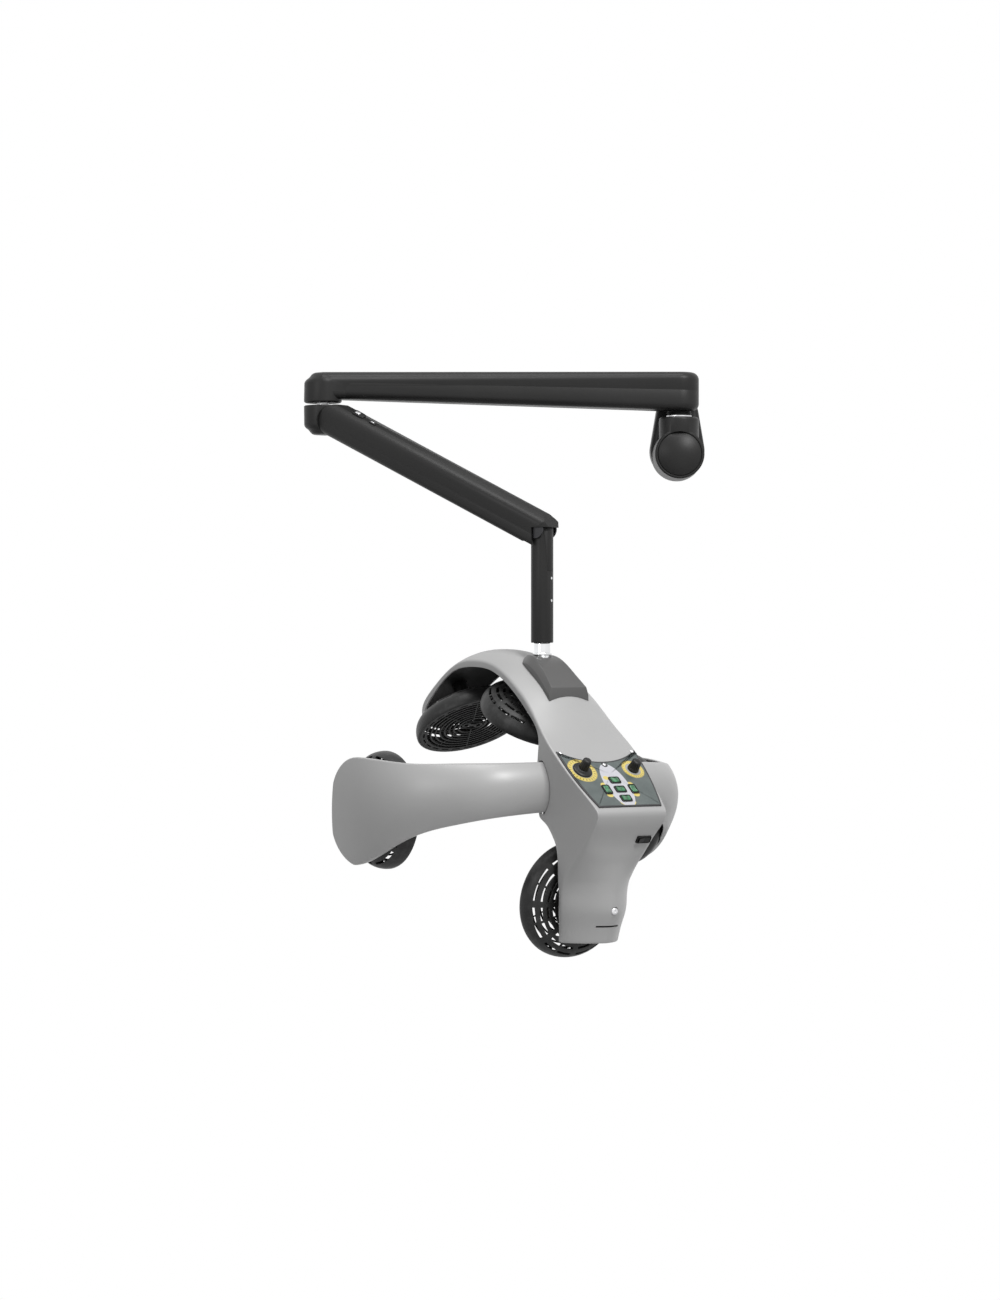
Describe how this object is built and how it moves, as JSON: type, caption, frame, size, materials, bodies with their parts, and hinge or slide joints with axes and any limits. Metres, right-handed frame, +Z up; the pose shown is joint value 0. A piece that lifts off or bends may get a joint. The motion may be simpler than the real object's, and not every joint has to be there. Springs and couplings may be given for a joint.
{
  "type": "hair colour processor",
  "caption": "Wall-mounted infrared hair processor: bracket, two-part swinging arm, levelled drop sleeve and a head with ringed heaters around the client's hair.",
  "frame": {"origin": "centre of the wall plate's four bolt holes, on the plane of the wall", "axes": "+Y into the wall, +Z up, +X to the right when facing the wall"},
  "size_m": [0.6385, 0.5362, 0.9029],
  "materials": {
    "charcoal_plastic": "satin, fine grain",
    "silver_plastic": "satin metallic silver",
    "dark_grey_plastic": "satin",
    "liner_plastic": "matte",
    "black_enamel": "semi-gloss enamel",
    "black_wire": "semi-gloss enamel",
    "element_ceramic": "matte ceramic",
    "chrome": "polished",
    "steel": "brushed",
    "bronze": "plain",
    "bush_plastic": "plain",
    "panel_print": "printed film",
    "circuit_green": "solder mask",
    "black_gloss": "semi-gloss",
    "green_translucent": "translucent"
  },
  "bodies": {
    "wall_mount": {"wall_plate": "steel", "bracket_body": "charcoal_plastic", "bracket_cap": "charcoal_plastic", "bracket_bush": "bronze"},
    "upper_arm": {"upper_arm_top_shell": "charcoal_plastic", "upper_arm_bottom_shell": "charcoal_plastic", "upper_arm_tube": "steel", "wall_pivot_pin": "chrome"},
    "elbow": {"elbow_housing": "charcoal_plastic", "elbow_pin": "steel", "tilt_pin": "steel"},
    "lower_arm": {"lower_arm_top_shell": "charcoal_plastic", "lower_arm_bottom_shell": "charcoal_plastic", "lower_arm_beam": "steel", "balance_spring": "steel", "tension_screw": "chrome"},
    "levelling_rod": {"levelling_rod": "steel"},
    "drop_sleeve": {"drop_sleeve": "charcoal_plastic", "sleeve_cover": "charcoal_plastic", "sleeve_screws": "chrome", "sleeve_bush": "bush_plastic", "sleeve_pin": "steel"},
    "head": {"stem_tube": "chrome", "saddle_cover": "dark_grey_plastic", "spine_shell": "silver_plastic", "column_shell": "silver_plastic", "spine_liner": "liner_plastic", "heater_posts": "black_enamel", "control_panel": "panel_print", "head_screws": "chrome", "switch_bezels": "black_gloss", "circuit_board": "circuit_green", "arm_hinge_pins": "steel", "forehead_heater_housing": "black_enamel", "forehead_heater_grille": "black_wire", "forehead_heater_element": "element_ceramic", "crown_heater_housing": "black_enamel", "crown_heater_grille": "black_wire", "crown_heater_element": "element_ceramic", "nape_heater_housing": "black_enamel", "nape_heater_grille": "black_wire", "nape_heater_element": "element_ceramic"},
    "left_arm": {"left_arm_shell": "silver_plastic", "left_arm_liner": "liner_plastic", "left_heater_housing": "black_enamel", "left_heater_grille": "black_wire", "left_heater_element": "element_ceramic"},
    "right_arm": {"right_arm_shell": "silver_plastic", "right_arm_liner": "liner_plastic", "right_heater_housing": "black_enamel", "right_heater_grille": "black_wire", "right_heater_element": "element_ceramic"},
    "timer_knob": {"timer_knob": "black_gloss"},
    "power_knob": {"power_knob": "black_gloss"},
    "crown_rocker": {"crown_rocker": "green_translucent"},
    "left_rocker": {"left_rocker": "green_translucent"},
    "forehead_rocker": {"forehead_rocker": "green_translucent"},
    "right_rocker": {"right_rocker": "green_translucent"},
    "nape_rocker": {"nape_rocker": "green_translucent"},
    "main_switch": {"main_switch": "black_gloss"}
  },
  "joints": [
    {"name": "wall_swivel", "type": "hinge", "parent": "wall_mount", "child": "upper_arm", "pos_m": [0, -0.08, 0.03], "axis": [0, 0, 1], "range_deg": [0, 170]},
    {"name": "elbow_swivel", "type": "hinge", "parent": "upper_arm", "child": "elbow", "pos_m": [-0.565, -0.08, 0.05], "axis": [0, 0, 1], "range_deg": [-140, 15]},
    {"name": "arm_tilt", "type": "hinge", "parent": "elbow", "child": "lower_arm", "pos_m": [-0.53502, -0.09992, 0.023], "axis": [0.5534, 0.8329, 0], "range_deg": [-17, 20]},
    {"name": "rod_tilt", "type": "hinge", "parent": "elbow", "child": "levelling_rod", "pos_m": [-0.53502, -0.09992, 0.0365], "axis": [0.5534, 0.8329, 0], "range_deg": [-17, 20]},
    {"name": "sleeve_level", "type": "hinge", "parent": "lower_arm", "child": "drop_sleeve", "pos_m": [-0.21999, -0.30923, -0.15498], "axis": [0.5534, 0.8329, 0], "range_deg": [-20, 17]},
    {"name": "head_swivel", "type": "hinge", "parent": "drop_sleeve", "child": "head", "pos_m": [-0.21999, -0.30923, -0.31], "axis": [0, 0, 1], "range_deg": [-160, 160]},
    {"name": "left_arm_swing", "type": "hinge", "parent": "head", "child": "left_arm", "pos_m": [-0.2164, -0.43346, -0.5415], "axis": [0, 0, 1], "range_deg": [-2, 8]},
    {"name": "right_arm_swing", "type": "hinge", "parent": "head", "child": "right_arm", "pos_m": [-0.10614, -0.35909, -0.5415], "axis": [0, 0, 1], "range_deg": [-9, 1]},
    {"name": "timer_turn", "type": "hinge", "parent": "head", "child": "timer_knob", "pos_m": [-0.16172, -0.47787, -0.51299], "axis": [0.3718, -0.5512, 0.747], "range_deg": [-140, 140]},
    {"name": "power_turn", "type": "hinge", "parent": "head", "child": "power_knob", "pos_m": [-0.08545, -0.42643, -0.51299], "axis": [0.3718, -0.5512, 0.747], "range_deg": [-140, 140]},
    {"name": "crown_rock", "type": "hinge", "parent": "head", "child": "crown_rocker", "pos_m": [-0.11526, -0.46449, -0.53025], "axis": [0.4177, -0.6193, -0.6648], "range_deg": [0, 12]},
    {"name": "left_rock", "type": "hinge", "parent": "head", "child": "left_rocker", "pos_m": [-0.12685, -0.4897, -0.54309], "axis": [0.829, 0.5592, 0], "range_deg": [0, 12]},
    {"name": "forehead_rock", "type": "hinge", "parent": "head", "child": "forehead_rocker", "pos_m": [-0.10724, -0.47638, -0.54302], "axis": [0.4177, -0.6193, -0.6648], "range_deg": [0, 12]},
    {"name": "right_rock", "type": "hinge", "parent": "head", "child": "right_rocker", "pos_m": [-0.08755, -0.46319, -0.54309], "axis": [0.829, 0.5592, 0], "range_deg": [0, 12]},
    {"name": "nape_rock", "type": "hinge", "parent": "head", "child": "nape_rocker", "pos_m": [-0.09918, -0.48833, -0.55585], "axis": [0.4177, -0.6193, -0.6648], "range_deg": [0, 12]},
    {"name": "main_rock", "type": "hinge", "parent": "head", "child": "main_switch", "pos_m": [-0.0728, -0.46253, -0.617], "axis": [-0.3353, 0.4292, -0.8387], "range_deg": [0, 12]}
  ],
  "couplings": [
    {"joint": "rod_tilt", "follows": "arm_tilt", "ratio": 1},
    {"joint": "sleeve_level", "follows": "arm_tilt", "ratio": -1}
  ]
}
